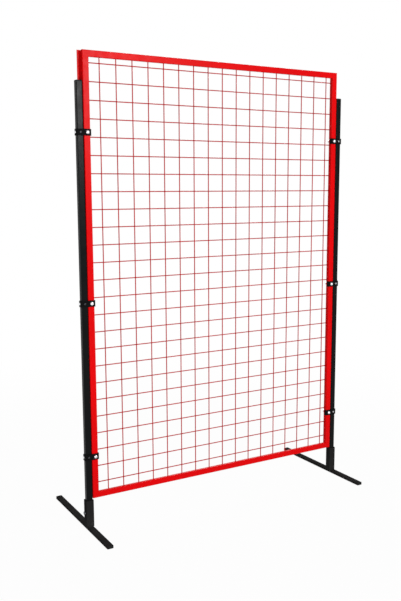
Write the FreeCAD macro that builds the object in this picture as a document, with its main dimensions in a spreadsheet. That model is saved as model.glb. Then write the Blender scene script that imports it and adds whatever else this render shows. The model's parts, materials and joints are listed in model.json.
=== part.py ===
"""Free-standing partition panel: a welded wire mesh in a red tube frame, clamped between two
black posts that stand in sleeves on long flat feet.

Millimetres. +X runs along the panel to the right, +Y to the rear, +Z up. The origin is on the
floor, midway between the posts and midway along the feet.
"""
import FreeCAD, Part
import os

# Driving sizes, one cell of the sheet each.
SIZES = {
    "panel_width": 890.0,
    "panel_height": 1274.0,
    "ground_gap": 92.0,
    "stile_face": 18.5,
    "rail_face": 18.0,
    "frame_depth": 10.0,
    "frame_wall": 1.5,
    "frame_corner": 1.6,
    "mesh_pitch": 50.0,
    "mesh_margin": 10.0,
    "mesh_shift_right": 8.5,
    "mesh_shift_up": 5.0,
    "wire_size": 3.0,
    "wire_lap": 12.0,
    "strip_thickness": 2.5,
    "strip_lip": 9.0,
    "strip_land": 14.0,
    "post_width": 18.0,
    "post_depth": 16.0,
    "post_wall": 1.5,
    "post_corner": 2.0,
    "post_gap": 2.0,
    "post_drop": 84.0,
    "cap_crown": 3.0,
    "cap_bevel": 1.2,
    "cap_plug": 14.0,
    "fit_gap": 0.25,
    "sleeve_height": 80.0,
    "sleeve_wall": 2.5,
    "sleeve_corner": 2.0,
    "sleeve_screw_rise": 41.0,
    "sleeve_screw_hole": 5.2,
    "foot_width": 19.0,
    "foot_thickness": 8.0,
    "foot_front_reach": 155.0,
    "foot_rear_reach": 262.0,
    "foot_corner": 3.0,
    "foot_bevel": 0.8,
    "clamp_band": 18.0,
    "clamp_thickness": 2.5,
    "clamp_bend": 1.0,
    "clamp_hook": 7.0,
    "clamp_wrap": 14.0,
    "clamp_lower_rise": 127.0,
    "clamp_upper_drop": 220.0,
    "clamp_middle_drop": 12.5,
    "bolt_hole": 6.4,
    "side_hole": 4.4,
}

# How close two coordinates lie to count as one place when an edge is looked up.
SAME_PLACE = 1e-4

doc = FreeCAD.newDocument("PartitionPanel")
sheet = doc.addObject("Spreadsheet::Sheet", "Sizes")
for row, (alias, value) in enumerate(SIZES.items(), start=1):
    sheet.set(f"A{row}", alias)
    sheet.set(f"B{row}", str(value))
    sheet.setAlias(f"B{row}", alias)
doc.recompute()


def size(alias):
    """The number that a cell of the sheet holds."""
    return float(sheet.get(alias))


def expr(text):
    """An expression on the sheet, from the words of its aliases."""
    for alias in sorted(SIZES, key=len, reverse=True):
        text = text.replace(f"<{alias}>", f"Sizes.{alias}")
    return f"({text})"


# Heights and depths that several pieces share, worked out from the sheet.
POST_LINE = expr("(<foot_front_reach> - <foot_rear_reach>) / 2")
MESH_DEPTH = expr("2 * <wire_size>")
STRIP_FRONT = expr(f"{POST_LINE} + <post_depth> / 2")
FRAME_FRONT = expr(f"{STRIP_FRONT} - {MESH_DEPTH} - <frame_depth>")
FRAME_BACK = expr(f"{FRAME_FRONT} + <frame_depth>")
FRAME_BOTTOM = expr("<ground_gap>")
FRAME_TOP = expr("<ground_gap> + <panel_height>")
POST_INNER = expr("<panel_width> / 2 + <post_gap>")
POST_CENTRE = expr(f"{POST_INNER} + <post_width> / 2")
POST_TOP = expr(f"{FRAME_TOP} - <post_drop>")
FOOT_LENGTH = expr("<foot_front_reach> + <foot_rear_reach>")
CLAMP_LOWER = expr(f"{FRAME_BOTTOM} + <clamp_lower_rise>")
CLAMP_UPPER = expr(f"{FRAME_TOP} - <clamp_upper_drop>")
CLAMP_MIDDLE = expr(f"({CLAMP_LOWER} + {CLAMP_UPPER}) / 2 - <clamp_middle_drop>")

# Turns that point a drill, which is drawn upwards, to the rear or to the right.
TO_REAR = FreeCAD.Rotation(FreeCAD.Vector(1, 0, 0), -90)
TO_RIGHT = FreeCAD.Rotation(FreeCAD.Vector(0, 1, 0), 90)


def bind(item, **properties):
    """Bind properties of a document object to expressions on the sheet."""
    for name, text in properties.items():
        item.setExpression(name, text)
    return item


def place(item, x, y, z):
    """Bind the place of a document object to expressions on the sheet."""
    item.setExpression(".Placement.Base.x", x)
    item.setExpression(".Placement.Base.y", y)
    item.setExpression(".Placement.Base.z", z)
    return item


def box(name, low, extent):
    """A box from its lowest corner and its three extents, all expressions."""
    item = doc.addObject("Part::Box", name)
    bind(item, Length=extent[0], Width=extent[1], Height=extent[2])
    return place(item, *low)


def fuse(name, items):
    """One solid from several that touch or overlap."""
    item = doc.addObject("Part::MultiFuse", name)
    item.Shapes = items
    return item


def cut(name, base, tool):
    """The base without the tool."""
    item = doc.addObject("Part::Cut", name)
    item.Base = base
    item.Tool = tool
    return item


def worked_edges(kind, name, base, reach, chosen):
    """The base with each edge that the test chooses rounded or bevelled."""
    doc.recompute()
    item = doc.addObject(kind, name)
    item.Base = base
    edges = enumerate(base.Shape.Edges, start=1)
    item.Edges = [(number, reach, reach) for number, edge in edges if chosen(edge)]
    return item


def rounded(name, base, radius, chosen):
    """The base with the chosen edges rounded."""
    return worked_edges("Part::Fillet", name, base, radius, chosen)


def bevelled(name, base, reach, chosen):
    """The base with the chosen edges bevelled at 45 degrees."""
    return worked_edges("Part::Chamfer", name, base, reach, chosen)


def drill(name, diameter, depth, start, turn):
    """A round drill from its start point, pointed by a turn."""
    item = doc.addObject("Part::Cylinder", name)
    bind(item, Radius=expr(f"{diameter} / 2"), Height=depth)
    place(item, *start)
    item.Placement.Rotation = turn
    return item


def runs_along(edge, axis):
    """Whether an edge is straight and runs along one axis, 0 to 2."""
    first, last = edge.Vertexes[0].Point, edge.Vertexes[-1].Point
    span = last - first
    others = [abs(span[other]) for other in range(3) if other != axis]
    return abs(span[axis]) > SAME_PLACE and max(others) < SAME_PLACE


def lies_at(edge, axis, place_on_axis):
    """Whether a whole edge lies at one place on an axis, 0 to 2."""
    return all(abs(corner.Point[axis] - place_on_axis) < SAME_PLACE for corner in edge.Vertexes)


def frame_tube(label, length, face, other_face, place_at, turn):
    """A mitred tube of the frame, drawn along X with its outer side at the bottom, then turned."""

    def trapezium(name, inset):
        item = doc.addObject("Part::Wedge", name)
        start = expr(f"{inset} / {face} * {other_face}")
        end = expr(f"{length} - {inset} / {face} * {other_face}")
        far_start = expr(f"({face} - {inset}) / {face} * {other_face}")
        far_end = expr(f"{length} - ({face} - {inset}) / {face} * {other_face}")
        bind(item, Xmin=start, Xmax=end, X2min=far_start, X2max=far_end)
        bind(item, Ymin=inset, Ymax=expr(f"{face} - {inset}"))
        bind(item, Zmin=inset, Zmax=expr(f"<frame_depth> - {inset}"))
        bind(item, Z2min=inset, Z2max=expr(f"<frame_depth> - {inset}"))
        return item

    outer = trapezium(f"{label}_outer", "0")
    bore = trapezium(f"{label}_bore", expr("<frame_wall>"))
    softened = rounded(
        f"{label}_rounded",
        outer,
        size("frame_corner"),
        lambda edge: runs_along(edge, 0),
    )
    item = cut(label, softened, bore)
    place(item, *place_at)
    item.Placement.Rotation = turn
    return item


def upright_tube(label, centre, line, bottom, outer, wall, height, corner):
    """An upright rectangular tube round a vertical line, open at both ends."""
    width, depth = outer
    low = (expr(f"{centre} - {width} / 2"), expr(f"{line} - {depth} / 2"), bottom)
    solid = box(f"{label}_outer", low, (width, depth, height))
    softened = rounded(f"{label}_rounded", solid, corner, lambda edge: runs_along(edge, 2))
    bore_low = (expr(f"{low[0]} + {wall}"), expr(f"{low[1]} + {wall}"), bottom)
    bore_extent = (expr(f"{width} - 2 * {wall}"), expr(f"{depth} - 2 * {wall}"), height)
    bore = box(f"{label}_bore", bore_low, bore_extent)
    return cut(label, softened, bore)


def make_frame():
    """Four mitred tubes: two rails and two stiles."""
    half_width = expr("<panel_width> / 2")
    stile, rail = expr("<stile_face>"), expr("<rail_face>")
    width, height = expr("<panel_width>"), expr("<panel_height>")
    x_axis, y_axis = FreeCAD.Vector(1, 0, 0), FreeCAD.Vector(0, 1, 0)
    stand_up = FreeCAD.Rotation(x_axis, 90)
    left, right = expr(f"-{half_width}"), half_width
    pieces = [
        frame_tube("frame_bottom_rail", width, rail, stile, (left, FRAME_BACK, FRAME_BOTTOM), stand_up),
        frame_tube("frame_top_rail", width, rail, stile, (right, FRAME_BACK, FRAME_TOP),
                   FreeCAD.Rotation(y_axis, 180).multiply(stand_up)),
        frame_tube("frame_left_stile", height, stile, rail, (left, FRAME_BACK, FRAME_TOP),
                   FreeCAD.Rotation(y_axis, 90).multiply(stand_up)),
        frame_tube("frame_right_stile", height, stile, rail, (right, FRAME_BACK, FRAME_BOTTOM),
                   FreeCAD.Rotation(y_axis, -90).multiply(stand_up)),
    ]
    return pieces


def wire_count(opening):
    """How many wires fit across an opening of the frame, with the margin free at both sides."""
    return int((opening - 2 * size("mesh_margin")) // size("mesh_pitch")) + 1


def make_mesh():
    """The welded mesh, in a lower and an upper half that meet midway between two wires."""
    columns = wire_count(size("panel_width") - 2 * size("stile_face"))
    rows = wire_count(size("panel_height") - 2 * size("rail_face"))
    lower_rows = rows // 2
    wire = expr("<wire_size>")
    mesh_middle = expr("<ground_gap> + <panel_height> / 2 + <mesh_shift_up>")
    upright_front = FRAME_BACK
    level_front = expr(f"{FRAME_BACK} + <wire_size>")
    bottom_end = expr(f"{FRAME_BOTTOM} + <rail_face> - <wire_lap>")
    top_end = expr(f"{FRAME_TOP} - <rail_face> + <wire_lap>")
    split = expr(f"{mesh_middle} + ({lower_rows} - {rows} / 2) * <mesh_pitch>")
    half_length = expr("<panel_width> / 2 - <stile_face> + <wire_lap>")

    def upright(name, column, start, end):
        x = expr(f"<mesh_shift_right> + ({column} - {columns - 1} / 2) * <mesh_pitch> - <wire_size> / 2")
        return box(name, (x, upright_front, start), (wire, wire, expr(f"{end} - {start}")))

    def level(name, number):
        z = expr(f"{mesh_middle} + ({number} - {rows - 1} / 2) * <mesh_pitch> - <wire_size> / 2")
        return box(name, (expr(f"-{half_length}"), level_front, z), (expr(f"2 * {half_length}"), wire, wire))

    halves = (
        ("mesh_lower", range(lower_rows), bottom_end, split),
        ("mesh_upper", range(lower_rows, rows), split, top_end),
    )
    pieces = []
    for label, numbers, start, end in halves:
        wires = [upright(f"{label}_upright_{column}", column, start, end) for column in range(columns)]
        wires += [level(f"{label}_level_{number}", number) for number in numbers]
        pieces.append(fuse(label, wires))
    return pieces


def make_strip(side, sign):
    """The flat strip behind a stile. Its lip stands out past the stile, behind the post."""
    reach = expr("<strip_land> + <strip_lip>")
    inner = expr("<panel_width> / 2 - <strip_land>")
    low_x = inner if sign > 0 else expr(f"-{inner} - {reach}")
    extent = (reach, expr("<strip_thickness>"), expr("<panel_height>"))
    return box(f"{side}_edge_strip", (low_x, STRIP_FRONT, FRAME_BOTTOM), extent)


def make_post(side, sign):
    """A post of rectangular tube, standing on its foot."""
    centre = expr(f"{sign} * {POST_CENTRE}")
    outer = (expr("<post_width>"), expr("<post_depth>"))
    length = expr(f"{POST_TOP} - <foot_thickness>")
    return upright_tube(f"{side}_post", centre, POST_LINE, expr("<foot_thickness>"), outer,
                        expr("<post_wall>"), length, size("post_corner"))


def make_cap(side, sign):
    """A push-in cap: a crown over the tube's end and a plug inside it."""
    label = f"{side}_post_cap"
    centre = expr(f"{sign} * {POST_CENTRE}")
    width, depth = expr("<post_width>"), expr("<post_depth>")
    low = (expr(f"{centre} - {width} / 2"), expr(f"{POST_LINE} - {depth} / 2"), POST_TOP)
    crown = box(f"{label}_crown", low, (width, depth, expr("<cap_crown>")))
    inset = expr("<post_wall> + <fit_gap>")
    plug_low = (expr(f"{low[0]} + {inset}"), expr(f"{low[1]} + {inset}"), expr(f"{POST_TOP} - <cap_plug>"))
    plug_extent = (expr(f"{width} - 2 * {inset}"), expr(f"{depth} - 2 * {inset}"), expr("<cap_plug>"))
    plug = box(f"{label}_plug", plug_low, plug_extent)
    softened = rounded(f"{label}_rounded", crown, size("post_corner"), lambda edge: runs_along(edge, 2))
    doc.recompute()
    crown_top = softened.Shape.BoundBox.ZMax
    bevel = size("cap_bevel")
    topped = bevelled(f"{label}_topped", softened, bevel, lambda edge: lies_at(edge, 2, crown_top))
    return fuse(label, [topped, plug])


def make_sleeve(side, sign):
    """The short sleeve on the foot that the post stands in."""
    centre = expr(f"{sign} * {POST_CENTRE}")
    skin = expr("2 * (<sleeve_wall> + <fit_gap>)")
    outer = (expr(f"<post_width> + {skin}"), expr(f"<post_depth> + {skin}"))
    label = f"{side}_sleeve"
    tube = upright_tube(f"{label}_tube", centre, POST_LINE, expr("<foot_thickness>"), outer,
                        expr("<sleeve_wall>"), expr("<sleeve_height>"), size("sleeve_corner"))
    wall_middle = expr(f"{centre} + {sign} * ({outer[0]} - <sleeve_wall>) / 2")
    screw_height = expr("<foot_thickness> + <sleeve_screw_rise>")
    start = (expr(f"{wall_middle} - <sleeve_wall>"), POST_LINE, screw_height)
    diameter, depth = expr("<sleeve_screw_hole>"), expr("2 * <sleeve_wall>")
    return cut(label, tube, drill(f"{label}_hole", diameter, depth, start, TO_RIGHT))


def make_foot(side, sign):
    """A long flat bar on the floor, reaching further to the rear than to the front."""
    label = f"{side}_foot"
    low = (expr(f"{sign} * {POST_CENTRE} - <foot_width> / 2"), expr(f"-{FOOT_LENGTH} / 2"), "0")
    bar = box(f"{label}_bar", low, (expr("<foot_width>"), FOOT_LENGTH, expr("<foot_thickness>")))
    softened = rounded(f"{label}_rounded", bar, size("foot_corner"), lambda edge: runs_along(edge, 2))
    doc.recompute()
    top = softened.Shape.BoundBox.ZMax
    return bevelled(label, softened, size("foot_bevel"), lambda edge: lies_at(edge, 2, top))


def make_clamp(side, sign, level, middle):
    """A bent strap over stile and post, hooked round the stile and wrapped round the post."""
    label = f"{side}_clamp_{level}"
    thick, band = expr("<clamp_thickness>"), expr("<clamp_band>")
    bottom = expr(f"{middle} - <clamp_band> / 2")
    stile_inner = expr("<panel_width> / 2 - <stile_face>")
    post_outer = expr(f"{POST_INNER} + <post_width>")
    front = expr(f"{FRAME_FRONT} - <clamp_thickness>")

    def leg(name, near, width, depth):
        """One leg of the strap, from its distance from the middle of the panel."""
        low_x = near if sign > 0 else expr(f"-{near} - {width}")
        return box(f"{label}_{name}", (low_x, front, bottom), (width, depth, band))

    face_near = expr(f"{stile_inner} - {thick}")
    face_width = expr(f"{post_outer} - {stile_inner} + 2 * {thick}")
    legs = [
        leg("face", face_near, face_width, thick),
        leg("hook", face_near, thick, expr("<clamp_hook> + <clamp_thickness>")),
        leg("wrap", post_outer, thick, expr("<clamp_wrap> + <clamp_thickness>")),
    ]
    strap = fuse(f"{label}_strap", legs)
    strap.Refine = True
    doc.recompute()
    limits = strap.Shape.BoundBox
    inside = limits.YMin + size("clamp_thickness")

    def outer_corner(edge):
        at_end = lies_at(edge, 0, limits.XMin) or lies_at(edge, 0, limits.XMax)
        return at_end and lies_at(edge, 1, limits.YMin)

    def inner_corner(edge):
        return runs_along(edge, 2) and lies_at(edge, 1, inside)

    bent_inside = rounded(f"{label}_bent_inside", strap, size("clamp_bend"), inner_corner)
    outer_bend = size("clamp_bend") + size("clamp_thickness")
    bent = rounded(f"{label}_bent", bent_inside, outer_bend, outer_corner)

    depth = expr("3 * <clamp_thickness>")
    front_start = expr(f"{FRAME_FRONT} - 2 * <clamp_thickness>")
    stile_line = expr(f"{sign} * (<panel_width> - <stile_face>) / 2")
    post_line = expr(f"{sign} * {POST_CENTRE}")
    leg_start = expr(f"{sign} * ({post_outer} + <clamp_thickness> / 2) - {depth} / 2")
    bolt, screw = expr("<bolt_hole>"), expr("<side_hole>")
    holes = fuse(f"{label}_holes", [
        drill(f"{label}_stile_hole", bolt, depth, (stile_line, front_start, middle), TO_REAR),
        drill(f"{label}_post_hole", screw, depth, (post_line, front_start, middle), TO_REAR),
        drill(f"{label}_side_hole", screw, depth, (leg_start, POST_LINE, middle), TO_RIGHT),
    ])
    return cut(label, bent, holes)


pieces = make_frame() + make_mesh()
for side, sign in (("left", -1), ("right", 1)):
    pieces.append(make_strip(side, sign))
    pieces.append(make_post(side, sign))
    pieces.append(make_cap(side, sign))
    pieces.append(make_sleeve(side, sign))
    pieces.append(make_foot(side, sign))
    for level, middle in (("lower", CLAMP_LOWER), ("middle", CLAMP_MIDDLE), ("upper", CLAMP_UPPER)):
        pieces.append(make_clamp(side, sign, level, middle))
doc.recompute()

faults = [item.Name for item in doc.Objects if {"Invalid", "Error"} & set(item.State)]
faults += [item.Label for item in pieces if item.Shape.isNull() or not item.Shape.isValid()]
if faults:
    raise RuntimeError(f"these objects failed: {faults}")

os.makedirs("parts", exist_ok=True)
for item in pieces:
    item.Shape.exportStep(f"parts/{item.Label}.step")
    solids = len(item.Shape.Solids)
    print(f"{item.Label}: {solids} solid, {item.Shape.Volume / 1000:.2f} cm3, {len(item.Shape.Faces)} faces")
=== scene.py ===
"""Dresses a free-standing mesh partition panel: welded round wires, clamp bolts and screws, weld
beads, powder-coated steel, and a plain white studio round it.

Metres. +X runs along the panel to the right, +Y to the rear, +Z up, with the floor at zero.
"""
import json
import math
from contextlib import contextmanager
from typing import NamedTuple

import bmesh
import bpy
from mathutils import Matrix, Vector


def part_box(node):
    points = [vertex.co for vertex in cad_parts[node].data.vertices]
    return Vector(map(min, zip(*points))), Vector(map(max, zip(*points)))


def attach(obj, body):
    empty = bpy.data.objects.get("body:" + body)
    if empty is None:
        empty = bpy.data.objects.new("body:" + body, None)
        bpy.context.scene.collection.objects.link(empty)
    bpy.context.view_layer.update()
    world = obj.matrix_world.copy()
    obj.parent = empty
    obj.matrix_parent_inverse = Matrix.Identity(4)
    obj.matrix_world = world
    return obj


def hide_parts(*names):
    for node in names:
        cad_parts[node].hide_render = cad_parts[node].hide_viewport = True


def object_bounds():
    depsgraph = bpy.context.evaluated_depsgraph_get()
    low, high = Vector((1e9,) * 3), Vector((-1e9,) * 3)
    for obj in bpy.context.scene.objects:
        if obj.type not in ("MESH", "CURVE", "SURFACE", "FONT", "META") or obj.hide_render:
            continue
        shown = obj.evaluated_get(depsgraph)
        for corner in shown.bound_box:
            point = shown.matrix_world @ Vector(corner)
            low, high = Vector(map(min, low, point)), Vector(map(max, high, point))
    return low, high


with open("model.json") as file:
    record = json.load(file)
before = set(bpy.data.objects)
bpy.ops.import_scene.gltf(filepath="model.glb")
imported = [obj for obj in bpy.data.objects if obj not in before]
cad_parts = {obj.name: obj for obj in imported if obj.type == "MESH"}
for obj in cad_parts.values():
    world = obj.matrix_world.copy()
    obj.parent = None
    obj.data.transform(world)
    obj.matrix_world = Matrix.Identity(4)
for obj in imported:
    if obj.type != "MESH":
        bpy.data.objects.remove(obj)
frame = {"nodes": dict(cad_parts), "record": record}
CAD_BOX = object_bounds()

bl_info = {
    "name": "Mesh Partition Panel",
    "version": (1, 0, 0),
    "blender": (4, 5, 0),
    "location": "3D View > Sidebar > Partition",
    "description": "Dresses a mesh partition panel with wires, fasteners, welds, paint and a stage",
    "category": "Add Mesh",
}

MM = 0.001
QUARTER_TURN = math.radians(90)
BODY = "root"

SIDES = (("left", -1), ("right", 1))
LEVELS = ("lower", "middle", "upper")
CLAMPS = [(f"{side}_clamp_{level}", side, sign) for side, sign in SIDES for level in LEVELS]
MESH_NODES = ("mesh_lower", "mesh_upper")

X_AXIS, Z_AXIS = 0, 2
# Coordinates of the CAD mesh that agree to this many decimals are one place.
PLACE_DIGITS = 6
SAME_PLACE = 10 ** -PLACE_DIGITS


def middle_of(node):
    """The middle of a CAD node's box."""
    low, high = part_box(node)
    return (low + high) / 2


def wire_places(end_axis, across_axis):
    """Where the wires lie along one axis, from the corners of their ends at the low end of another."""
    corners = [corner.co for node in MESH_NODES for corner in frame["nodes"][node].data.vertices]
    end = min(corner[end_axis] for corner in corners)
    at_end = [corner for corner in corners if abs(corner[end_axis] - end) < SAME_PLACE]
    found = sorted({round(corner[across_axis], PLACE_DIGITS) for corner in at_end})
    return [(low + high) / 2 for low, high in zip(found[0::2], found[1::2])]


UPRIGHTS = wire_places(Z_AXIS, X_AXIS)
LEVEL_WIRES = wire_places(X_AXIS, Z_AXIS)
MESH_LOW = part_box("mesh_lower")[0]
MESH_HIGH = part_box("mesh_upper")[1]
WIRE_SIZE = (MESH_HIGH.y - MESH_LOW.y) / 2
PITCH = UPRIGHTS[1] - UPRIGHTS[0]


class PartitionMeshSizes(bpy.types.PropertyGroup):
    """Sizes of the welded mesh."""

    wire_diameter: bpy.props.FloatProperty(
        name="Wire diameter", description="Diameter of the round wire",
        default=WIRE_SIZE, min=0.5 * MM, max=10 * MM, precision=4, unit="LENGTH")
    wire_sides: bpy.props.IntProperty(
        name="Wire sides", description="Facets round each wire", default=16, min=6, max=48)
    cut_bevel: bpy.props.FloatProperty(
        name="Cut bevel", description="Bevel on the cropped end of each wire",
        default=0.35 * MM, min=0.0, max=1 * MM, precision=5, unit="LENGTH")
    weld_width: bpy.props.FloatProperty(
        name="Weld width", description="Width of the weld where two wires cross",
        default=3.9 * MM, min=1 * MM, max=8 * MM, precision=4, unit="LENGTH")
    weld_depth: bpy.props.FloatProperty(
        name="Weld depth", description="Depth of the weld from front to rear",
        default=2.6 * MM, min=0.5 * MM, max=6 * MM, precision=4, unit="LENGTH")
    tack_length: bpy.props.FloatProperty(
        name="Tack length", description="Length of the tack weld of an upright on a rail",
        default=7 * MM, min=2 * MM, max=15 * MM, precision=4, unit="LENGTH")


class PartitionFastenerSizes(bpy.types.PropertyGroup):
    """Sizes of the bolts, screws, nuts and washers."""

    bolt_head: bpy.props.FloatProperty(
        name="Bolt head", description="Diameter of a clamp bolt's domed head",
        default=9.8 * MM, min=4 * MM, max=20 * MM, precision=4, unit="LENGTH")
    bolt_rise: bpy.props.FloatProperty(
        name="Bolt rise", description="Height of a clamp bolt's head",
        default=3.3 * MM, min=1 * MM, max=8 * MM, precision=4, unit="LENGTH")
    bolt_socket: bpy.props.FloatProperty(
        name="Bolt socket", description="Width across flats of the socket in a clamp bolt",
        default=4 * MM, min=1 * MM, max=8 * MM, precision=4, unit="LENGTH")
    washer_width: bpy.props.FloatProperty(
        name="Washer width", description="Outer diameter of a clamp bolt's washer",
        default=12 * MM, min=4 * MM, max=25 * MM, precision=4, unit="LENGTH")
    washer_thickness: bpy.props.FloatProperty(
        name="Washer thickness", description="Thickness of a washer",
        default=1.2 * MM, min=0.3 * MM, max=3 * MM, precision=4, unit="LENGTH")
    thread: bpy.props.FloatProperty(
        name="Thread", description="Thread diameter of a clamp bolt",
        default=6 * MM, min=2 * MM, max=12 * MM, precision=4, unit="LENGTH")
    nut_width: bpy.props.FloatProperty(
        name="Nut width", description="Width across flats of a clamp bolt's nut",
        default=10 * MM, min=4 * MM, max=20 * MM, precision=4, unit="LENGTH")
    nut_height: bpy.props.FloatProperty(
        name="Nut height", description="Height of a clamp bolt's nut",
        default=5 * MM, min=1 * MM, max=10 * MM, precision=4, unit="LENGTH")
    screw_head: bpy.props.FloatProperty(
        name="Screw head", description="Diameter of the small screws that hold the clamps to the posts",
        default=7 * MM, min=2 * MM, max=15 * MM, precision=4, unit="LENGTH")
    screw_rise: bpy.props.FloatProperty(
        name="Screw rise", description="Height of a small screw's head",
        default=2.3 * MM, min=0.5 * MM, max=6 * MM, precision=4, unit="LENGTH")
    screw_socket: bpy.props.FloatProperty(
        name="Screw socket", description="Width across flats of the socket in a small screw",
        default=2.5 * MM, min=0.5 * MM, max=6 * MM, precision=4, unit="LENGTH")
    set_bolt_width: bpy.props.FloatProperty(
        name="Set bolt width", description="Width across flats of the head of a sleeve's set bolt",
        default=10 * MM, min=4 * MM, max=20 * MM, precision=4, unit="LENGTH")
    set_bolt_rise: bpy.props.FloatProperty(
        name="Set bolt rise", description="Height of the head of a sleeve's set bolt",
        default=4 * MM, min=1 * MM, max=10 * MM, precision=4, unit="LENGTH")
    set_bolt_turn: bpy.props.FloatProperty(
        name="Set bolt turn", description="How far the head of a set bolt is turned about its own axis",
        subtype="ANGLE", default=math.radians(30))
    set_bolt_height: bpy.props.FloatProperty(
        name="Set bolt height", description="Height of a sleeve's set bolt above the floor",
        default=49 * MM, min=10 * MM, max=200 * MM, precision=4, unit="LENGTH")
    bead_width: bpy.props.FloatProperty(
        name="Bead width", description="Width of the weld bead at a sleeve's base",
        default=3.6 * MM, min=1 * MM, max=8 * MM, precision=4, unit="LENGTH")


class PartitionFinishes(bpy.types.PropertyGroup):
    """Colours of the finishes."""

    frame_red: bpy.props.FloatVectorProperty(
        name="Frame red", description="Powder coat on the frame", subtype="COLOR", size=3,
        default=(0.70, 0.0022, 0.0035), min=0.0, max=1.0)
    # The wires wear the frame's powder coat. This red is darker than the frame red as painted shade of the
    # thin round wires.
    shaded_wire_red: bpy.props.FloatVectorProperty(
        name="Wire red", description="Powder coat on the wires", subtype="COLOR", size=3,
        default=(0.48, 0.003, 0.006), min=0.0, max=1.0)
    post_black: bpy.props.FloatVectorProperty(
        name="Post black", description="Powder coat on the posts", subtype="COLOR", size=3,
        default=(0.0055, 0.0058, 0.0060), min=0.0, max=1.0)
    foot_black: bpy.props.FloatVectorProperty(
        name="Foot black", description="Dull powder coat on the feet and sleeves", subtype="COLOR", size=3,
        default=(0.0180, 0.0176, 0.0176), min=0.0, max=1.0)
    clamp_black: bpy.props.FloatVectorProperty(
        name="Clamp black", description="Powder coat on the clamps", subtype="COLOR", size=3,
        default=(0.003, 0.003, 0.0033), min=0.0, max=1.0)
    cap_black: bpy.props.FloatVectorProperty(
        name="Cap black", description="Moulded plastic of the post caps", subtype="COLOR", size=3,
        default=(0.009, 0.009, 0.010), min=0.0, max=1.0)
    bolt_zinc: bpy.props.FloatVectorProperty(
        name="Bolt zinc", description="Bright zinc plating", subtype="COLOR", size=3,
        default=(0.78, 0.79, 0.81), min=0.0, max=1.0)
    dull_zinc: bpy.props.FloatVectorProperty(
        name="Dull zinc", description="Worn plating of the right front screws", subtype="COLOR", size=3,
        default=(0.30, 0.30, 0.31), min=0.0, max=1.0)
    screw_black: bpy.props.FloatVectorProperty(
        name="Screw black", description="Blackened steel of the washers, set bolts and left front screws",
        subtype="COLOR", size=3, default=(0.045, 0.046, 0.05), min=0.0, max=1.0)
    dust_grey: bpy.props.FloatVectorProperty(
        name="Dust grey", description="Dust and scuffs near the floor", subtype="COLOR", size=3,
        default=(0.045, 0.045, 0.044), min=0.0, max=1.0)


class PartitionStage(bpy.types.PropertyGroup):
    """The camera, the lights and the floor."""

    camera_place: bpy.props.FloatVectorProperty(
        name="Camera place", description="Where the camera stands", subtype="TRANSLATION", size=3,
        unit="LENGTH", default=(-1.2542, -2.0772, 0.9855))
    camera_turn: bpy.props.FloatProperty(
        name="Camera turn", description="How far the camera turns to the right of straight ahead",
        subtype="ANGLE", default=math.radians(30.27))
    camera_dip: bpy.props.FloatProperty(
        name="Camera dip", description="How far the camera looks down", subtype="ANGLE",
        default=math.radians(8.14))
    camera_roll: bpy.props.FloatProperty(
        name="Camera roll", description="How far the camera rolls", subtype="ANGLE",
        default=math.radians(-0.24))
    lens: bpy.props.FloatProperty(
        name="Lens", description="Focal length on a sensor of 36 mm along the frame's long side",
        default=45.96, min=10, max=200)
    key_place: bpy.props.FloatVectorProperty(
        name="Key place", description="Where the softbox in front stands", subtype="TRANSLATION", size=3,
        unit="LENGTH", default=(1.32, -4.55, 1.97))
    key_width: bpy.props.FloatProperty(
        name="Key width", description="Width and height of the softbox in front",
        default=1.1, min=0.1, max=5.0, unit="LENGTH")
    key_power: bpy.props.FloatProperty(
        name="Key power", description="Power of the softbox in front",
        default=136.0, min=0.0, subtype="POWER")
    fill_place: bpy.props.FloatVectorProperty(
        name="Fill place", description="Where the softbox behind stands", subtype="TRANSLATION", size=3,
        unit="LENGTH", default=(1.8, 2.7, 2.4))
    fill_width: bpy.props.FloatProperty(
        name="Fill width", description="Width and height of the softbox behind",
        default=1.4, min=0.1, max=5.0, unit="LENGTH")
    fill_power: bpy.props.FloatProperty(
        name="Fill power", description="Power of the softbox behind",
        default=75.0, min=0.0, subtype="POWER")
    side_place: bpy.props.FloatVectorProperty(
        name="Side place", description="Where the softbox on the left stands", subtype="TRANSLATION",
        size=3, unit="LENGTH", default=(-2.2, -2.0, 0.5))
    side_width: bpy.props.FloatProperty(
        name="Side width", description="Width and height of the softbox on the left",
        default=1.0, min=0.1, max=5.0, unit="LENGTH")
    side_power: bpy.props.FloatProperty(
        name="Side power", description="Power of the softbox on the left",
        default=24.0, min=0.0, subtype="POWER")
    ambient: bpy.props.FloatProperty(
        name="Ambient", description="Strength of the white surround as light",
        default=0.46, min=0.0, max=2.0)
    floor_grey: bpy.props.FloatProperty(
        name="Floor grey", description="How much of its light the floor gives back to the object",
        default=0.5, min=0.0, max=1.0, subtype="FACTOR")
    floor_white: bpy.props.FloatProperty(
        name="Floor white", description="Share of the floor near the object that reads as plain white",
        default=0.97, min=0.0, max=1.0, subtype="FACTOR")
    shadow_reach: bpy.props.FloatProperty(
        name="Shadow reach", description="How far from the object the floor still takes a shadow",
        default=2.2, min=0.5, max=20.0, unit="LENGTH")


def step_back():
    """Leave edit mode and deselect everything."""
    if bpy.context.mode != "OBJECT":
        bpy.ops.object.mode_set(mode="OBJECT")
    bpy.ops.object.select_all(action="DESELECT")


def take(piece):
    """Select one piece alone and make it the active one."""
    step_back()
    piece.select_set(True)
    bpy.context.view_layer.objects.active = piece


@contextmanager
def editing(piece, kind, chosen):
    """Edit mode on one piece, with the faces or edges picked that a test chooses."""
    take(piece)
    bpy.ops.object.mode_set(mode="EDIT")
    bpy.ops.mesh.select_mode(type=kind)
    bpy.ops.mesh.select_all(action="DESELECT")
    shape = bmesh.from_edit_mesh(piece.data)
    for element in shape.faces if kind == "FACE" else shape.edges:
        if chosen(element):
            element.select_set(True)
    shape.select_flush_mode()
    bmesh.update_edit_mesh(piece.data)
    yield
    bpy.ops.object.mode_set(mode="OBJECT")


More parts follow.
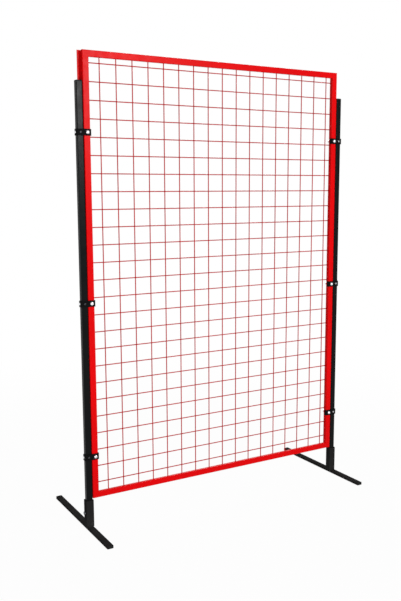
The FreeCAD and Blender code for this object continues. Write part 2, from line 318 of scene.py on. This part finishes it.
# An edge is sharp above the first angle, and faces that meet below the second are shaded as one.
SHARP_ANGLE = math.radians(40)
SMOOTH_ANGLE = math.radians(35)
# A face looks along an axis when its normal has more than this share along it.
LOOKING = 0.9


def sharp(edge):
    """Whether two faces meet at an edge more steeply than a rounded side's facets do."""
    return len(edge.link_faces) == 2 and edge.calc_face_angle() > SHARP_ANGLE


def looks_forward(face):
    """Whether a face looks to the front."""
    return face.normal.y < -LOOKING


def looks_back(face):
    """Whether a face looks to the rear."""
    return face.normal.y > LOOKING


def apply_place(piece):
    """Put a piece's place, turn and scale into its mesh."""
    take(piece)
    bpy.ops.object.transform_apply(location=True, rotation=True, scale=True)
    return piece


def finish_modifier(piece):
    """Apply the modifier that was added last."""
    take(piece)
    bpy.ops.object.modifier_apply(modifier=piece.modifiers[-1].name)


def repeat(piece, count, offset):
    """Copy a piece along a straight row, as one mesh."""
    take(piece)
    bpy.ops.object.modifier_add(type="ARRAY")
    row = piece.modifiers[-1]
    row.count = count
    row.use_relative_offset = False
    row.use_constant_offset = True
    row.constant_offset_displace = offset
    finish_modifier(piece)


def discard(piece):
    """Remove a tool that has cut, or a pattern whose copies are made."""
    take(piece)
    bpy.ops.object.delete()


def carve(piece, tool, operation):
    """Cut a piece with a tool, or keep only what both share, and remove the tool."""
    take(piece)
    bpy.ops.object.modifier_add(type="BOOLEAN")
    work = piece.modifiers[-1]
    work.operation = operation
    work.solver = "EXACT"
    work.object = tool
    finish_modifier(piece)
    discard(tool)


def join(name, pieces):
    """Several pieces as one."""
    take(pieces[0])
    for piece in pieces[1:]:
        piece.select_set(True)
    bpy.ops.object.join()
    joined = bpy.context.object
    joined.name = name
    return joined


def copy_to(pattern, name, place, turn=0.0):
    """A copy of a pattern with its own mesh, turned about the upright axis and put in its place."""
    take(pattern)
    bpy.ops.object.duplicate(linked=False)
    piece = bpy.context.object
    piece.name = name
    piece.rotation_euler = (0.0, 0.0, turn)
    piece.location = place
    return apply_place(piece)


def settle(piece, finish, slot):
    """Smooth a finished piece, give it its finish and let it ride on the frame."""
    take(piece)
    bpy.ops.object.shade_smooth_by_angle(angle=SMOOTH_ANGLE)
    piece.data.materials.clear()
    piece.data.materials.append(bpy.data.materials[finish])
    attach(piece, BODY)


def outer_side(node, sign):
    """Where a node's outer side lies along the panel, on the left for a sign below zero."""
    low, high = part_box(node)
    return high.x if sign > 0 else low.x


# How many facets stand for a full circle on each kind of round piece, and the sides of a hexagon.
HEAD_SIDES = 32
WASHER_SIDES = 32
CHAMFER_SIDES = 48
THREAD_SIDES = 24
HEXAGON_SIDES = 6

# A domed head has a straight rim, a share of its height, and an arc above it, drawn in steps.
RIM_SHARE = 0.28
DOME_ANGLE = math.radians(62)
DOME_STEPS = 5

# A washer's hole in thread diameters, and its edge bevel in thicknesses.
WASHER_HOLE = 1.07
WASHER_BEVEL = 0.18
WASHER_BEVEL_STEPS = 2

# The pitch of a bolt's thread, its root in outer diameters, and the turns that show behind a nut.
THREAD_PITCH = 1.0 * MM
THREAD_ROOT = 0.84
THREAD_TURNS = 4


def add_rod(name, sides, radius, start, end):
    """A round or hexagon rod along the front-to-rear axis, from one depth to another."""
    bpy.ops.mesh.primitive_cylinder_add(
        vertices=sides, radius=radius, depth=end - start, location=(0.0, (start + end) / 2, 0.0),
        rotation=(QUARTER_TURN, 0.0, 0.0))
    rod = apply_place(bpy.context.object)
    rod.name = name
    return rod


def corner_radius(width):
    """The radius of a hexagon at its corners, from its width across flats."""
    return width / math.sqrt(3)


def extrude_along(step, ratio, place):
    """Extrude the picked face along the rod by a step, to a place where it is scaled about the axis."""
    bpy.ops.mesh.extrude_region_move(TRANSFORM_OT_translate={"value": (0.0, step, 0.0)})
    bpy.ops.transform.resize(value=(ratio, 1.0, ratio), center_override=(0.0, place, 0.0))


def model_head(name, diameter, rise, socket):
    """A domed screw head with a hexagon socket, facing the front, its seat at the origin."""
    rim = rise * RIM_SHARE
    head = add_rod(name, HEAD_SIDES, diameter / 2, -rim, 0.0)
    with editing(head, "FACE", looks_forward):
        angle, height = 0.0, rim
        for number in range(1, DOME_STEPS + 1):
            next_angle = DOME_ANGLE * number / DOME_STEPS
            next_height = rim + (rise - rim) * math.sin(next_angle) / math.sin(DOME_ANGLE)
            ratio = math.cos(next_angle) / math.cos(angle)
            extrude_along(height - next_height, ratio, -next_height)
            angle, height = next_angle, next_height
    socket_floor = rise / 2
    key = add_rod("socket_key", HEXAGON_SIDES, corner_radius(socket), -rise - socket_floor, -socket_floor)
    carve(head, key, "DIFFERENCE")
    return head


def model_washer(name, width, hole, thickness, front):
    """A flat washer with broken edges, its front face at the given depth."""
    bpy.ops.mesh.primitive_circle_add(
        vertices=WASHER_SIDES, radius=width / 2, fill_type="NGON", location=(0.0, front + thickness, 0.0),
        rotation=(QUARTER_TURN, 0.0, 0.0))
    washer = apply_place(bpy.context.object)
    washer.name = name
    with editing(washer, "FACE", lambda face: True):
        bpy.ops.mesh.inset(thickness=(width - hole) / 2)
        bpy.ops.mesh.delete(type="FACE")
        bpy.ops.mesh.select_all(action="SELECT")
        bpy.ops.mesh.extrude_region_move(TRANSFORM_OT_translate={"value": (0.0, -thickness, 0.0)})
        bpy.ops.mesh.select_all(action="SELECT")
        bpy.ops.mesh.normals_make_consistent(inside=False)
    with editing(washer, "EDGE", sharp):
        bpy.ops.mesh.bevel(offset=thickness * WASHER_BEVEL, segments=WASHER_BEVEL_STEPS, affect="EDGES")
    return washer


def model_hexagon(name, width, height):
    """A nut or a bolt head with chamfered corners on its rear face, standing to the rear of the origin."""
    corner = corner_radius(width)
    hexagon = add_rod(name, HEXAGON_SIDES, corner, 0.0, height)
    turned = add_rod("turned_blank", CHAMFER_SIDES, corner, 0.0, height)

    def on_rear_rim(edge):
        """Whether an edge runs round the rear face."""
        return sharp(edge) and edge.verts[0].co.y > height / 2

    with editing(turned, "EDGE", on_rear_rim):
        bpy.ops.mesh.bevel(offset=corner - width / 2, segments=1, affect="EDGES")
    carve(hexagon, turned, "INTERSECT")
    return hexagon


def model_bolt_end(name, thread, start):
    """The threaded end of a bolt, pointing to the rear from a given depth."""
    half_pitch = THREAD_PITCH / 2
    place = start + half_pitch
    end = add_rod(name, THREAD_SIDES, thread / 2 * THREAD_ROOT, start, place)
    with editing(end, "FACE", looks_back):
        for _ in range(THREAD_TURNS):
            for ratio in (1 / THREAD_ROOT, THREAD_ROOT):
                place += half_pitch
                extrude_along(half_pitch, ratio, place)
    return end


class WeldShape(NamedTuple):
    """How finely a rounded weld is drawn."""

    segments: int
    rings: int


NUGGET = WeldShape(segments=8, rings=5)
BEAD = WeldShape(segments=12, rings=8)
# The width of a tack in widths of a nugget, and how far its middle lies behind the rail in depths of one.
TACK_WIDTH = 1.5
TACK_STAND = 0.25
# The step and the length of a bead's ripples in widths of the bead, and the bare ends of its seam.
RIPPLE_STEP = 0.42
RIPPLE_LENGTH = 0.8
BARE_END = 1.5 * MM


def add_weld(shape, place, extent):
    """A smooth weld: a ball one metre across, scaled to its extent."""
    ball_radius = 0.5
    bpy.ops.mesh.primitive_uv_sphere_add(
        segments=shape.segments, ring_count=shape.rings, radius=ball_radius, location=place, scale=extent)
    return apply_place(bpy.context.object)


class PARTITION_OT_wires(bpy.types.Operator):
    """Weld the round wires of the mesh and tack them to the rails"""

    bl_idname = "partition.wires"
    bl_label = "Weld the Mesh"

    def execute(self, context):
        sizes = context.scene.partition_mesh
        middle, extent = (MESH_LOW + MESH_HIGH) / 2, MESH_HIGH - MESH_LOW
        next_upright, next_level = (PITCH, 0.0, 0.0), (0.0, 0.0, PITCH)

        upright_y = MESH_LOW.y + WIRE_SIZE / 2
        uprights = self.wire(sizes, extent.z, (UPRIGHTS[0], upright_y, middle.z), 0.0)
        repeat(uprights, len(UPRIGHTS), next_upright)

        level_y = MESH_HIGH.y - WIRE_SIZE / 2
        levels = self.wire(sizes, extent.x, (middle.x, level_y, LEVEL_WIRES[0]), QUARTER_TURN)
        repeat(levels, len(LEVEL_WIRES), next_level)

        nugget_size = (sizes.weld_width, sizes.weld_depth, sizes.weld_width)
        nuggets = add_weld(NUGGET, (UPRIGHTS[0], middle.y, LEVEL_WIRES[0]), nugget_size)
        repeat(nuggets, len(UPRIGHTS), next_upright)
        repeat(nuggets, len(LEVEL_WIRES), next_level)

        tack_size = (sizes.weld_width * TACK_WIDTH, sizes.weld_depth, sizes.tack_length)
        tack_y = MESH_LOW.y + sizes.weld_depth * TACK_STAND
        tack_z = MESH_LOW.z + sizes.tack_length / 2
        tacks = add_weld(NUGGET, (UPRIGHTS[0], tack_y, tack_z), tack_size)
        repeat(tacks, len(UPRIGHTS), next_upright)
        rail_count, rail_step = 2, extent.z - sizes.tack_length
        repeat(tacks, rail_count, (0.0, 0.0, rail_step))

        mesh = join("welded_mesh", [uprights, levels, nuggets, tacks])
        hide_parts(*MESH_NODES)
        # The wire coat's red is darkened as painted shade of the thin round wires.
        settle(mesh, "wire_coat_painted_shade", "wire_paint")
        return {"FINISHED"}

    @staticmethod
    def wire(sizes, length, place, turn):
        """A wire, upright or turned level, with the edges of its cropped ends broken."""
        bpy.ops.mesh.primitive_cylinder_add(
            vertices=sizes.wire_sides, radius=sizes.wire_diameter / 2, depth=length, location=place,
            rotation=(0.0, turn, 0.0))
        wire = apply_place(bpy.context.object)
        with editing(wire, "EDGE", sharp):
            bpy.ops.mesh.bevel(offset=sizes.cut_bevel, segments=1, affect="EDGES")
        return wire


class PARTITION_OT_clamp_bolts(bpy.types.Operator):
    """Bolt each clamp through the stile, with a washer in front and a washer and nut behind"""

    bl_idname = "partition.clamp_bolts"
    bl_label = "Bolt the Clamps"

    def execute(self, context):
        sizes = context.scene.partition_fasteners
        thickness, hole = sizes.washer_thickness, sizes.thread * WASHER_HOLE
        head = model_head("bolt_head", sizes.bolt_head, sizes.bolt_rise, sizes.bolt_socket)
        washer = model_washer("bolt_washer", sizes.washer_width, hole, thickness, -thickness)
        rear_washer = model_washer("nut_washer", sizes.washer_width, hole, thickness, 0.0)
        nut = model_hexagon("bolt_nut", sizes.nut_width, sizes.nut_height)
        nut.location.y = thickness
        apply_place(nut)
        end = model_bolt_end("bolt_end", sizes.thread, thickness + sizes.nut_height / 2)
        rear = join("bolt_rear", [rear_washer, nut, end])
        for clamp, side, _ in CLAMPS:
            line = middle_of(f"frame_{side}_stile").x
            height = middle_of(clamp).z
            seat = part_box(clamp)[0].y
            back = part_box(f"{side}_edge_strip")[1].y
            front_washer = copy_to(washer, f"{clamp}_washer", (line, seat, height))
            settle(front_washer, "blackened_steel", "clamp_paint")
            bolt = copy_to(head, f"{clamp}_bolt", (line, seat - thickness, height))
            settle(bolt, "bright_zinc", "bolt_zinc")
            nut_set = copy_to(rear, f"{clamp}_nut", (line, back, height))
            settle(nut_set, "bright_zinc", "bolt_zinc")
        for pattern in (washer, head, rear):
            discard(pattern)
        return {"FINISHED"}


# The finish and the slot of the small screws in front, on each side.
FRONT_SCREW_FINISH = {"left": ("blackened_steel", "clamp_paint"), "right": ("worn_zinc", "bolt_zinc")}


class PARTITION_OT_clamp_screws(bpy.types.Operator):
    """Screw each clamp to its post, from the front and from the outer side"""

    bl_idname = "partition.clamp_screws"
    bl_label = "Screw the Clamps"

    def execute(self, context):
        sizes = context.scene.partition_fasteners
        head = model_head("screw_head", sizes.screw_head, sizes.screw_rise, sizes.screw_socket)
        for clamp, side, sign in CLAMPS:
            post = middle_of(f"{side}_post")
            height = middle_of(clamp).z
            front_place = (post.x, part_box(clamp)[0].y, height)
            front_screw = copy_to(head, f"{clamp}_front_screw", front_place)
            settle(front_screw, *FRONT_SCREW_FINISH[side])
            side_place = (outer_side(clamp, sign), post.y, height)
            side_screw = copy_to(head, f"{clamp}_side_screw", side_place, sign * QUARTER_TURN)
            settle(side_screw, "bright_zinc", "bolt_zinc")
        discard(head)
        return {"FINISHED"}


class PARTITION_OT_set_bolts(bpy.types.Operator):
    """Drive a hexagon set bolt into the outer side of each sleeve"""

    bl_idname = "partition.set_bolts"
    bl_label = "Drive the Set Bolts"

    def execute(self, context):
        sizes = context.scene.partition_fasteners
        head = model_hexagon("set_bolt_head", sizes.set_bolt_width, sizes.set_bolt_rise)
        head.rotation_euler.y = sizes.set_bolt_turn
        apply_place(head)
        for side, sign in SIDES:
            sleeve = f"{side}_sleeve"
            place = (outer_side(sleeve, sign), middle_of(sleeve).y, sizes.set_bolt_height)
            bolt = copy_to(head, f"{side}_set_bolt", place, -sign * QUARTER_TURN)
            settle(bolt, "blackened_steel", "clamp_paint")
        discard(head)
        return {"FINISHED"}


class PARTITION_OT_foot_welds(bpy.types.Operator):
    """Lay a rippled weld bead in front of and behind each sleeve, on its foot"""

    bl_idname = "partition.foot_welds"
    bl_label = "Weld the Sleeves"

    def execute(self, context):
        width = context.scene.partition_fasteners.bead_width
        ripple_size = (width * RIPPLE_LENGTH, width, width)
        for side, _ in SIDES:
            foot_low, foot_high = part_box(f"{side}_foot")
            start, end = foot_low.x + BARE_END, foot_high.x - BARE_END
            steps = int((end - start) / (width * RIPPLE_STEP))
            beads = []
            for sleeve_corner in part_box(f"{side}_sleeve"):
                bead = add_weld(BEAD, (start, sleeve_corner.y, foot_high.z), ripple_size)
                repeat(bead, steps + 1, ((end - start) / steps, 0.0, 0.0))
                beads.append(bead)
            settle(join(f"{side}_foot_weld", beads), "foot_powder_coat", "post_paint")
        return {"FINISHED"}


class Noise(NamedTuple):
    """A noise pattern: how fine it is, how many octaves it has, and the range of it that counts."""

    scale: float
    detail: float
    low: float
    high: float


class NodeSheet:
    """A node tree that is laid out from left to right as it grows."""

    column_width = 220

    def __init__(self, tree):
        self.tree = tree
        self.column = 0

    def add(self, kind, **settings):
        """A new node, with its settings and, by socket name, its input values or links."""
        node = self.tree.nodes.new(kind)
        self.column += 1
        node.location = (self.column_width * self.column, 0)
        inputs = settings.pop("inputs", {})
        for name, value in settings.items():
            setattr(node, name, value)
        for name, value in inputs.items():
            self.feed(node.inputs[name], value)
        return node

    def feed(self, socket, value):
        """Link a socket to another, or set its value."""
        if isinstance(value, bpy.types.NodeSocket):
            self.tree.links.new(value, socket)
        else:
            socket.default_value = value

    def mix(self, factor, first, second, blend="MIX"):
        """A mix of two colours."""
        node = self.add("ShaderNodeMix", data_type="RGBA", blend_type=blend)
        colours = [socket for socket in node.inputs if socket.type == "RGBA"]
        self.feed(node.inputs[0], factor)
        self.feed(colours[0], first)
        self.feed(colours[1], second)
        return next(socket for socket in node.outputs if socket.type == "RGBA")

    def grey(self, value):
        """A grey of a given lightness."""
        node = self.add("ShaderNodeCombineColor", inputs={"Red": value, "Green": value, "Blue": value})
        return node.outputs[0]

    def math(self, operation, first, second=0.0):
        """A sum on one or two values."""
        node = self.add("ShaderNodeMath", operation=operation)
        self.feed(node.inputs[0], first)
        self.feed(node.inputs[1], second)
        return node.outputs[0]

    def spread(self, value, low, high, new_low, new_high):
        """A value moved from one range to another, held within the new one."""
        node = self.add("ShaderNodeMapRange", inputs={
            "Value": value, "From Min": low, "From Max": high, "To Min": new_low, "To Max": new_high})
        return node.outputs[0]

    def noise(self, place, scale, detail):
        """A plain noise over the object."""
        node = self.add("ShaderNodeTexNoise", inputs={"Vector": place, "Scale": scale, "Detail": detail})
        return node.outputs[0]

    def pattern(self, place, noise, new_low, new_high):
        """A noise pattern over the object, with the range that counts moved to another."""
        plain_noise = self.noise(place, noise.scale, noise.detail)
        return self.spread(plain_noise, noise.low, noise.high, new_low, new_high)


COLOUR, VALUE = "NodeSocketColor", "NodeSocketFloat"


def new_group(name, inputs, outputs):
    """A shader node group with its named sockets, and the sheet to fill it on."""
    group = bpy.data.node_groups.new(name, "ShaderNodeTree")
    for direction, sockets in (("INPUT", inputs), ("OUTPUT", outputs)):
        for label, kind in sockets.items():
            group.interface.new_socket(label, in_out=direction, socket_type=kind)
    sheet = NodeSheet(group)
    return sheet, sheet.add("NodeGroupInput"), sheet.add("NodeGroupOutput")


# Clouds darken the paint down to a share of it, and patches swing its roughness to both sides.
COAT_CLOUDS = Noise(scale=9.0, detail=3.0, low=0.3, high=0.7)
COAT_DARKEST = 0.72
SHEEN_PATCHES = Noise(scale=34.0, detail=2.0, low=0.3, high=0.7)
SHEEN_SWING = 0.06
PEEL_DETAIL = 1.5


def powder_coat_group():
    """Orange peel, faint mottle and uneven sheen of a powder coat."""
    sheet, given, result = new_group(
        "Powder coat skin",
        {"Paint": COLOUR, "Mottle": VALUE, "Roughness": VALUE, "Peel scale": VALUE},
        {"Color": COLOUR, "Roughness": VALUE, "Height": VALUE})
    place = sheet.add("ShaderNodeTexCoord").outputs["Object"]
    shade = sheet.grey(sheet.pattern(place, COAT_CLOUDS, COAT_DARKEST, 1.0))
    colour = sheet.mix(given.outputs["Mottle"], given.outputs["Paint"], shade, "MULTIPLY")
    uneven = sheet.pattern(place, SHEEN_PATCHES, -SHEEN_SWING, SHEEN_SWING)
    sheet.feed(result.inputs["Color"], colour)
    sheet.feed(result.inputs["Roughness"], sheet.math("ADD", given.outputs["Roughness"], uneven))
    sheet.feed(result.inputs["Height"], sheet.noise(place, given.outputs["Peel scale"], PEEL_DETAIL))


# Speckle makes the dust, and clouds thin it down to a share of it.
DUST_SPECKLE = Noise(scale=260.0, detail=4.0, low=0.42, high=0.72)
DUST_CLOUDS = Noise(scale=22.0, detail=3.0, low=0.35, high=0.65)
DUST_THINNEST = 0.25


def floor_dust_group():
    """Dust and scuffs that thicken towards the floor."""
    sheet, given, result = new_group("Floor dust", {"Reach": VALUE}, {"Mask": VALUE})
    place = sheet.add("ShaderNodeTexCoord").outputs["Object"]
    height = sheet.add("ShaderNodeSeparateXYZ", inputs={"Vector": place}).outputs["Z"]
    low = sheet.math("SUBTRACT", 1.0, sheet.math("DIVIDE", height, given.outputs["Reach"]))
    low.node.use_clamp = True
    speckle = sheet.pattern(place, DUST_SPECKLE, 0.0, 1.0)
    clouds = sheet.pattern(place, DUST_CLOUDS, DUST_THINNEST, 1.0)
    sheet.feed(result.inputs["Mask"], sheet.math("MULTIPLY", low, sheet.math("MULTIPLY", speckle, clouds)))


# Spangle darkens the metal down to a share of it, and patches swing its roughness.
SPANGLE_SCALE = 900.0
SPANGLE_REACH = 0.8
SPANGLE_DARKEST = 0.86
DULL_PATCHES = Noise(scale=300.0, detail=3.0, low=0.35, high=0.65)
BRIGHTEST_PATCH, DULLEST_PATCH = -0.06, 0.08


def plating_group():
    """Fine spangle and dull patches of zinc plating or blackened steel."""
    sheet, given, result = new_group(
        "Plated skin", {"Metal": COLOUR, "Roughness": VALUE}, {"Color": COLOUR, "Roughness": VALUE})
    place = sheet.add("ShaderNodeTexCoord").outputs["Object"]
    spangle = sheet.add("ShaderNodeTexVoronoi", inputs={"Vector": place, "Scale": SPANGLE_SCALE})
    shade = sheet.grey(sheet.spread(spangle.outputs["Distance"], 0.0, SPANGLE_REACH, 1.0, SPANGLE_DARKEST))
    dull = sheet.pattern(place, DULL_PATCHES, BRIGHTEST_PATCH, DULLEST_PATCH)
    sheet.feed(result.inputs["Color"], sheet.mix(1.0, given.outputs["Metal"], shade, "MULTIPLY"))
    sheet.feed(result.inputs["Roughness"], sheet.math("ADD", given.outputs["Roughness"], dull))


def new_material(name):
    """A material with its sheet and its shader."""
    material = bpy.data.materials.new(name)
    material.use_nodes = True
    return NodeSheet(material.node_tree), material.node_tree.nodes["Principled BSDF"]


def use_group(sheet, name, **values):
    """A node group placed in a material with its own values."""
    node = sheet.add("ShaderNodeGroup", node_tree=bpy.data.node_groups[name])
    for label, value in values.items():
        sheet.feed(node.inputs[label.replace("_", " ").capitalize()], value)
    return node.outputs


def opaque(colour):
    """A colour with full alpha."""
    return (*colour, 1.0)


class Coat(NamedTuple):
    """How a coat looks apart from its colour: its sheen, its clouds and its orange peel."""

    roughness: float
    gloss: float
    mottle: float
    peel_scale: float
    peel_depth: float


FRAME_COAT = Coat(roughness=0.30, gloss=0.035, mottle=0.35, peel_scale=420.0, peel_depth=0.05 * MM)
WIRE_COAT = Coat(roughness=0.45, gloss=0.08, mottle=0.45, peel_scale=700.0, peel_depth=0.03 * MM)
POST_COAT = Coat(roughness=0.26, gloss=0.046, mottle=0.5, peel_scale=420.0, peel_depth=0.05 * MM)
FOOT_COAT = Coat(roughness=0.8, gloss=0.0, mottle=0.5, peel_scale=420.0, peel_depth=0.06 * MM)
CLAMP_COAT = Coat(roughness=0.6, gloss=0.04, mottle=0.4, peel_scale=500.0, peel_depth=0.05 * MM)
CAP_PLASTIC = Coat(roughness=0.65, gloss=0.06, mottle=0.3, peel_scale=900.0, peel_depth=0.03 * MM)
PEEL_STRENGTH = 0.5
DUST_REACH = 0.06
DUST_ROUGHNESS = 0.3

BRIGHT_ZINC_ROUGHNESS = 0.28
WORN_ZINC_ROUGHNESS = 0.34
BLACKENED_ROUGHNESS = 0.38


def paint(name, colour, coat, dust_colour=None):
    """A powder coat, with dust near the floor where a colour for it is given."""
    sheet, shader = new_material(name)
    skin = use_group(sheet, "Powder coat skin", paint=opaque(colour), mottle=coat.mottle,
                     roughness=coat.roughness, peel_scale=coat.peel_scale)
    final_colour, final_roughness = skin["Color"], skin["Roughness"]
    if dust_colour:
        mask = use_group(sheet, "Floor dust", reach=DUST_REACH)["Mask"]
        final_colour = sheet.mix(mask, final_colour, opaque(dust_colour))
        final_roughness = sheet.math("ADD", final_roughness, sheet.math("MULTIPLY", mask, DUST_ROUGHNESS))
    bump = sheet.add("ShaderNodeBump", inputs={
        "Height": skin["Height"], "Distance": coat.peel_depth, "Strength": PEEL_STRENGTH})
    sheet.feed(shader.inputs["Base Color"], final_colour)
    sheet.feed(shader.inputs["Roughness"], final_roughness)
    sheet.feed(shader.inputs["Normal"], bump.outputs["Normal"])
    shader.inputs["Specular IOR Level"].default_value = coat.gloss


def plate(name, colour, roughness):
    """A plated or blackened metal."""
    sheet, shader = new_material(name)
    skin = use_group(sheet, "Plated skin", metal=opaque(colour), roughness=roughness)
    sheet.feed(shader.inputs["Base Color"], skin["Color"])
    sheet.feed(shader.inputs["Roughness"], skin["Roughness"])
    shader.inputs["Metallic"].default_value = 1.0


SLOT_FINISH = {
    "frame_paint": "frame_powder_coat",
    "wire_paint": "wire_coat_painted_shade",
    "post_paint": "post_powder_coat",
    "clamp_paint": "clamp_powder_coat",
    "cap_plastic": "moulded_plastic",
}
NODE_FINISH = {f"{side}_{piece}": "foot_powder_coat" for side, _ in SIDES for piece in ("foot", "sleeve")}


class PARTITION_OT_finishes(bpy.types.Operator):
    """Mix the finishes and coat the tubes, strips, posts, clamps and caps"""

    bl_idname = "partition.finishes"
    bl_label = "Coat the Steel"

    def execute(self, context):
        colours = context.scene.partition_finishes
        powder_coat_group()
        floor_dust_group()
        plating_group()
        paint("frame_powder_coat", colours.frame_red, FRAME_COAT)
        # The wire red is the frame's coat darkened as painted shade of the thin round wires.
        paint("wire_coat_painted_shade", colours.shaded_wire_red, WIRE_COAT)
        paint("post_powder_coat", colours.post_black, POST_COAT, colours.dust_grey)
        paint("foot_powder_coat", colours.foot_black, FOOT_COAT, colours.dust_grey)
        paint("clamp_powder_coat", colours.clamp_black, CLAMP_COAT)
        paint("moulded_plastic", colours.cap_black, CAP_PLASTIC)
        plate("bright_zinc", colours.bolt_zinc, BRIGHT_ZINC_ROUGHNESS)
        plate("worn_zinc", colours.dull_zinc, WORN_ZINC_ROUGHNESS)
        plate("blackened_steel", colours.screw_black, BLACKENED_ROUGHNESS)
        for entry in frame["record"]["subparts"]:
            node = frame["nodes"][entry["node"]]
            finish = NODE_FINISH.get(entry["node"], SLOT_FINISH[entry["material_slot"]])
            node.data.materials.clear()
            node.data.materials.append(bpy.data.materials[finish])
        return {"FINISHED"}


WHITE = (1.0, 1.0, 1.0, 1.0)
# The side of the floor, the cells along it, and the camera's sensor in millimetres.
FLOOR_SIZE = 40.0
FLOOR_CUTS = 4
SENSOR_SIZE = 36.0


def seen_directly(sheet):
    """A mask of the rays that show the surround itself: camera, glossy and transmission rays."""
    path = sheet.add("ShaderNodeLightPath").outputs
    mirrored = sheet.math("MAXIMUM", path["Is Glossy Ray"], path["Is Transmission Ray"])
    return sheet.math("MAXIMUM", path["Is Camera Ray"], mirrored)


class PARTITION_OT_stage(bpy.types.Operator):
    """Set up the floor, the white surround, the softboxes and the camera"""

    bl_idname = "partition.stage"
    bl_label = "Set the Stage"

    def execute(self, context):
        stage = context.scene.partition_stage
        self.floor(stage)
        self.surround(context.scene, stage.ambient)
        target = Vector((0.0, middle_of("left_post").y, CAD_BOX[1][Z_AXIS] / 2))
        self.softbox("key_softbox", stage.key_place, target, stage.key_width, stage.key_power)
        self.softbox("fill_softbox", stage.fill_place, target, stage.fill_width, stage.fill_power)
        self.softbox("side_softbox", stage.side_place, target, stage.side_width, stage.side_power)
        self.camera(context.scene, stage)
        context.scene.view_settings.view_transform = "Standard"
        return {"FINISHED"}

    @staticmethod
    def floor(stage):
        """A wide floor that takes the shadow near the object and fades into the white surround."""
        step_back()
        bpy.ops.mesh.primitive_grid_add(
            x_subdivisions=FLOOR_CUTS, y_subdivisions=FLOOR_CUTS, size=FLOOR_SIZE)
        floor = bpy.context.object
        floor.name = "studio_floor"
        material = bpy.data.materials.new("pale_floor")
        material.use_nodes = True
        material.node_tree.nodes.clear()
        sheet = NodeSheet(material.node_tree)
        matte = sheet.add("ShaderNodeBsdfDiffuse", inputs={"Color": opaque([stage.floor_grey] * 3)})
        glow = sheet.add("ShaderNodeEmission", inputs={"Color": WHITE, "Strength": 1.0})
        place = sheet.add("ShaderNodeTexCoord").outputs["Object"]
        distance = sheet.add("ShaderNodeVectorMath", operation="LENGTH", inputs={"Vector": place})
        reach = stage.shadow_reach
        whiteness = sheet.spread(distance.outputs["Value"], reach / 2, reach, stage.floor_white, 1.0)
        mixed = sheet.add("ShaderNodeMixShader")
        sheet.feed(mixed.inputs[0], sheet.math("MULTIPLY", seen_directly(sheet), whiteness))
        sheet.feed(mixed.inputs[1], matte.outputs[0])
        sheet.feed(mixed.inputs[2], glow.outputs[0])
        sheet.add("ShaderNodeOutputMaterial", inputs={"Surface": mixed.outputs[0]})
        floor.data.materials.append(material)

    @staticmethod
    def surround(scene, ambient):
        """A white surround: plain white where it shows, softer where it only lights."""
        world = bpy.data.worlds.new("white_surround")
        world.use_nodes = True
        world.node_tree.nodes.clear()
        sheet = NodeSheet(world.node_tree)
        strength = sheet.spread(seen_directly(sheet), 0.0, 1.0, ambient, 1.0)
        back = sheet.add("ShaderNodeBackground", inputs={"Color": WHITE, "Strength": strength})
        sheet.add("ShaderNodeOutputWorld", inputs={"Surface": back.outputs[0]})
        scene.world = world

    @staticmethod
    def softbox(name, place, target, width, power):
        """A square softbox that faces a target."""
        step_back()
        bpy.ops.object.light_add(type="AREA", location=place)
        lamp = bpy.context.object
        lamp.name = name
        lamp.rotation_euler = (target - place).to_track_quat("-Z", "Y").to_euler()
        lamp.data.shape = "SQUARE"
        lamp.data.size = width
        lamp.data.energy = power

    @staticmethod
    def camera(scene, stage):
        """The camera at the photograph's viewing angle."""
        step_back()
        bpy.ops.object.camera_add()
        camera = bpy.context.object
        camera.name = "studio_camera"
        turn = Matrix.Rotation(-stage.camera_turn, 4, "Z")
        dip = Matrix.Rotation(QUARTER_TURN - stage.camera_dip, 4, "X")
        roll = Matrix.Rotation(stage.camera_roll, 4, "Z")
        camera.matrix_world = Matrix.Translation(stage.camera_place) @ turn @ dip @ roll
        camera.data.sensor_width = SENSOR_SIZE
        camera.data.lens = stage.lens
        scene.camera = camera


OPERATORS = (
    PARTITION_OT_finishes,
    PARTITION_OT_wires,
    PARTITION_OT_clamp_bolts,
    PARTITION_OT_clamp_screws,
    PARTITION_OT_set_bolts,
    PARTITION_OT_foot_welds,
    PARTITION_OT_stage,
)
SETTINGS = {
    "partition_mesh": PartitionMeshSizes,
    "partition_fasteners": PartitionFastenerSizes,
    "partition_finishes": PartitionFinishes,
    "partition_stage": PartitionStage,
}


class PARTITION_PT_sidebar(bpy.types.Panel):
    """The partition panel's operators and settings"""

    bl_idname = "PARTITION_PT_sidebar"
    bl_label = "Mesh Partition Panel"
    bl_space_type = "VIEW_3D"
    bl_region_type = "UI"
    bl_category = "Partition"

    def draw(self, context):
        for operator in OPERATORS:
            self.layout.operator(operator.bl_idname)
        for name, group in SETTINGS.items():
            box = self.layout.box()
            box.label(text=group.__doc__)
            for setting in group.__annotations__:
                box.prop(getattr(context.scene, name), setting)


def register():
    for group in SETTINGS.values():
        bpy.utils.register_class(group)
    for name, group in SETTINGS.items():
        setattr(bpy.types.Scene, name, bpy.props.PointerProperty(type=group))
    for operator in OPERATORS:
        bpy.utils.register_class(operator)
    bpy.utils.register_class(PARTITION_PT_sidebar)


def unregister():
    bpy.utils.unregister_class(PARTITION_PT_sidebar)
    for operator in reversed(OPERATORS):
        bpy.utils.unregister_class(operator)
    for name, group in SETTINGS.items():
        delattr(bpy.types.Scene, name)
        bpy.utils.unregister_class(group)


def main():
    register()
    step_back()
    bpy.ops.partition.finishes()
    bpy.ops.partition.wires()
    bpy.ops.partition.clamp_bolts()
    bpy.ops.partition.clamp_screws()
    bpy.ops.partition.set_bolts()
    bpy.ops.partition.foot_welds()
    bpy.ops.partition.stage()


if __name__ == "__main__":
    main()
